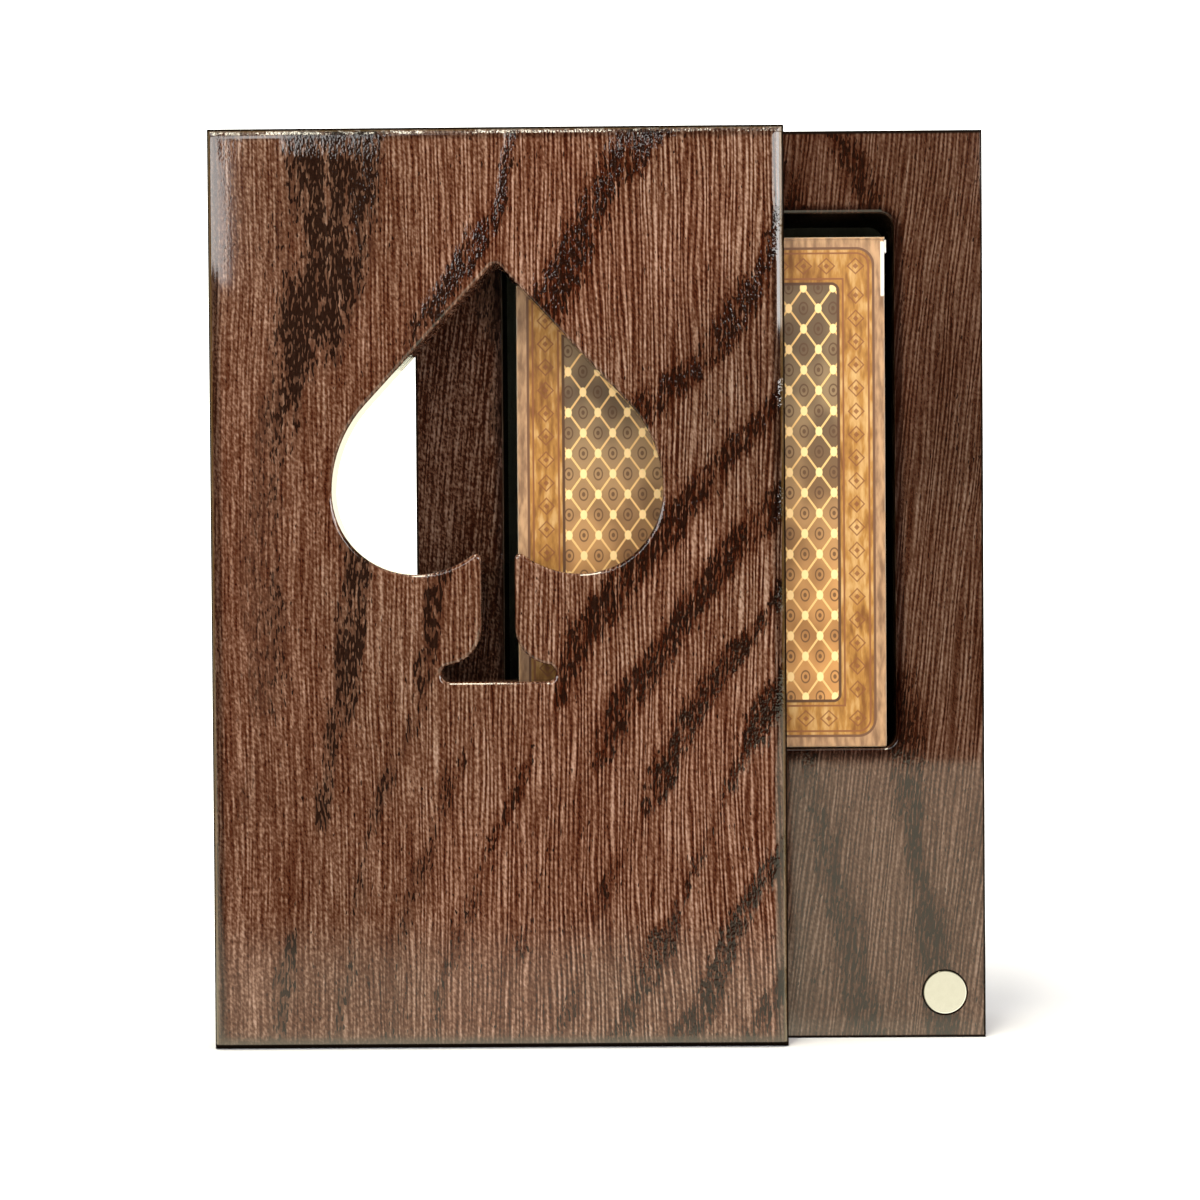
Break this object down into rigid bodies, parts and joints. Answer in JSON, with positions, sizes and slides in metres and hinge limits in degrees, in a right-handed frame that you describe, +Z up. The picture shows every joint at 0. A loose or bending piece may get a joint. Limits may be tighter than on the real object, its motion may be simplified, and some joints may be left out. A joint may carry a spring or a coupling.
{
  "type": "playing card box",
  "caption": "Wooden playing card box: thick block with a milled pocket for a tuck case, and a spade-cut cover plate that slides aside on magnets.",
  "frame": {"origin": "bottom centre of the whole object as it stands, with the cover plate slid to the left of the tray", "axes": "+X to the right seen from the front, +Y towards the back, +Z up; the spade cut-out faces -Y"},
  "size_m": [0.1352, 0.0336, 0.16],
  "materials": {
    "stained_oak": "thick gloss varnish over dark stain",
    "nickel_magnet": "nickel plated, satin",
    "printed_board": "coated print, satin",
    "white_board": "uncoated",
    "card_stock": "linen, satin"
  },
  "bodies": {
    "tray": {"tray_block": "stained_oak", "tray_magnet_lower": "nickel_magnet", "tray_magnet_upper": "nickel_magnet", "case_carton": "printed_board", "case_lid": "printed_board", "case_dust_flap_left": "white_board", "case_dust_flap_right": "white_board", "card_deck": "card_stock"},
    "cover": {"cover_plate": "stained_oak", "cover_magnet_lower": "nickel_magnet", "cover_magnet_upper": "nickel_magnet"}
  },
  "joints": [
    {"name": "cover_slide", "type": "slide", "parent": "tray", "child": "cover", "axis": [1, 0, 0], "range_m": [-0.0648, 0.0353]}
  ]
}
